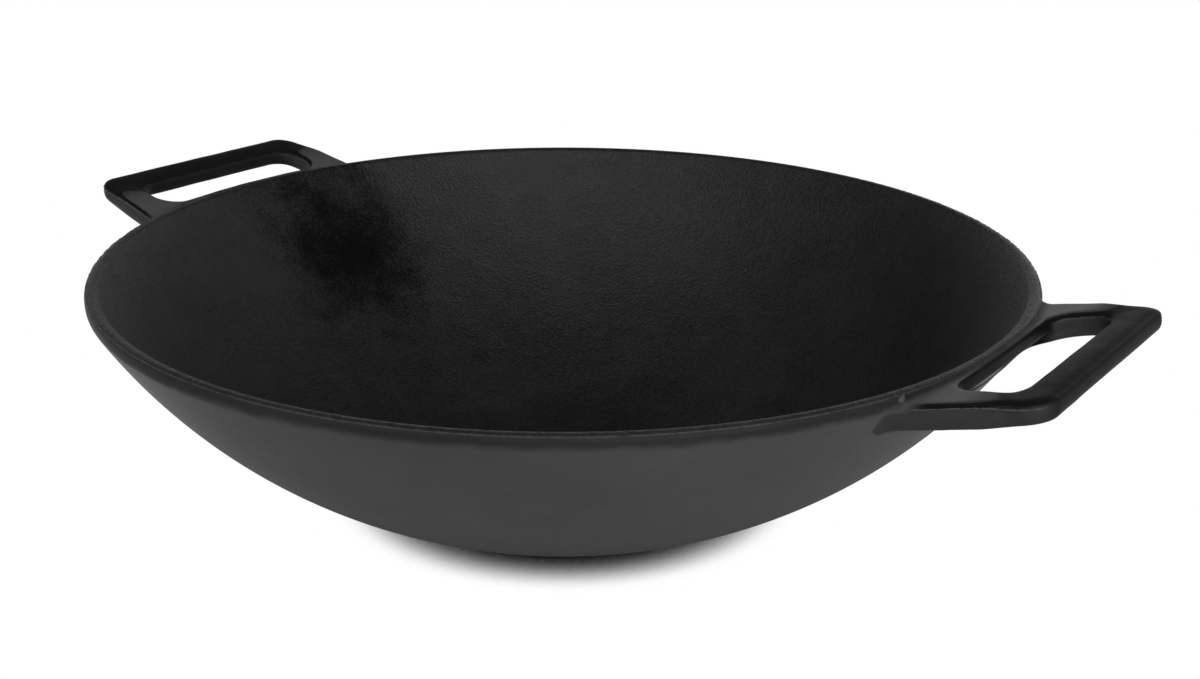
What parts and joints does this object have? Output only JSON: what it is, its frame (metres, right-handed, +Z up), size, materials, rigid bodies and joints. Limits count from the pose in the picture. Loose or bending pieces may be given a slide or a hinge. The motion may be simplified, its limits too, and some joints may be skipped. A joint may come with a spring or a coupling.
{
  "type": "wok",
  "caption": "Deep round cast iron wok with a curved side, a flat foot and two upturned frame handles set opposite each other at the rim.",
  "frame": {"origin": "centre of the flat foot, on the surface that the wok stands on", "axes": "+Z up along the bowl's axis, +X through the middle of the right handle, +Y along that handle's grip towards the rear"},
  "size_m": [0.4268, 0.356, 0.1022],
  "materials": {
    "iron": "seasoned satin black"
  },
  "bodies": {
    "root": {"flat_base": "iron", "lower_wall": "iron", "upper_wall": "iron", "rim": "iron", "right_root": "iron", "right_front_arm": "iron", "right_rear_arm": "iron", "right_grip": "iron", "left_root": "iron", "left_front_arm": "iron", "left_rear_arm": "iron", "left_grip": "iron"}
  },
  "joints": []
}
